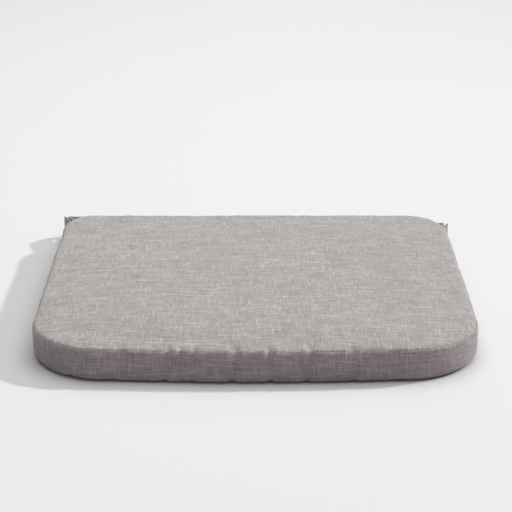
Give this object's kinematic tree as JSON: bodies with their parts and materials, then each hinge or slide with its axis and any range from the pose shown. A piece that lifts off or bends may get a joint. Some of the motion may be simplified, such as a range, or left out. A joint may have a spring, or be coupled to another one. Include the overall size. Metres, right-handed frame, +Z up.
{
  "type": "chair seat pad",
  "caption": "Flat boxed seat cushion with rounded corners, a zip-off woven cover and a closing strap loop at each rear corner for tying it to a chair.",
  "frame": {"origin": "middle of the pad's flat underside, on the surface it lies on", "axes": "+Z up out of the seat face, +X to the right along the front edge, +Y towards the rear edge with the zip and straps"},
  "size_m": [0.5056, 0.4727, 0.046],
  "materials": {
    "cover_cloth": "matt melange plain weave",
    "liner": "matt non-woven",
    "wadding": "matt loose fibre",
    "foam": "matt open-cell foam",
    "zip_tape": "matt woven tape",
    "zip_coil": "satin nylon",
    "zip_metal": "satin plated",
    "closure": "matt hook and pile tape",
    "label": "satin ribbon"
  },
  "bodies": {
    "pad": {"cover_top_panel": "cover_cloth", "cover_bottom_panel": "cover_cloth", "cover_front_boxing": "cover_cloth", "cover_rear_boxing_upper": "cover_cloth", "cover_rear_boxing_lower": "cover_cloth", "inner_liner": "liner", "wadding_top": "wadding", "wadding_bottom": "wadding", "foam_core": "foam", "zip_tape_upper": "zip_tape", "zip_tape_lower": "zip_tape", "zip_coil_upper": "zip_coil", "zip_coil_lower": "zip_coil", "zip_top_stop_upper": "zip_metal", "zip_top_stop_lower": "zip_metal", "zip_bottom_stop": "zip_metal", "left_strap_leg": "cover_cloth", "left_pile_patch": "closure", "right_strap_leg": "cover_cloth", "right_pile_patch": "closure", "care_label": "label"},
    "left_flap": {"left_strap_flap": "cover_cloth", "left_hook_patch": "closure"},
    "right_flap": {"right_strap_flap": "cover_cloth", "right_hook_patch": "closure"},
    "slider": {"zip_slider": "zip_metal"},
    "pull": {"zip_pull": "zip_metal"}
  },
  "joints": [
    {"name": "left_strap_open", "type": "hinge", "parent": "pad", "child": "left_flap", "pos_m": [-0.23537, 0.19876, 0.026], "axis": [0, 0, 1], "range_deg": [0, 110]},
    {"name": "right_strap_open", "type": "hinge", "parent": "pad", "child": "right_flap", "pos_m": [0.23537, 0.19876, 0.016], "axis": [0, 0, -1], "range_deg": [0, 110]},
    {"name": "zip_slide", "type": "slide", "parent": "pad", "child": "slider", "axis": [-1, 0, 0], "range_m": [0, 0.3409]},
    {"name": "zip_pull_swing", "type": "hinge", "parent": "slider", "child": "pull", "pos_m": [0.17033, 0.2211, 0.021], "axis": [0, 0, -1], "range_deg": [0, 175]}
  ]
}
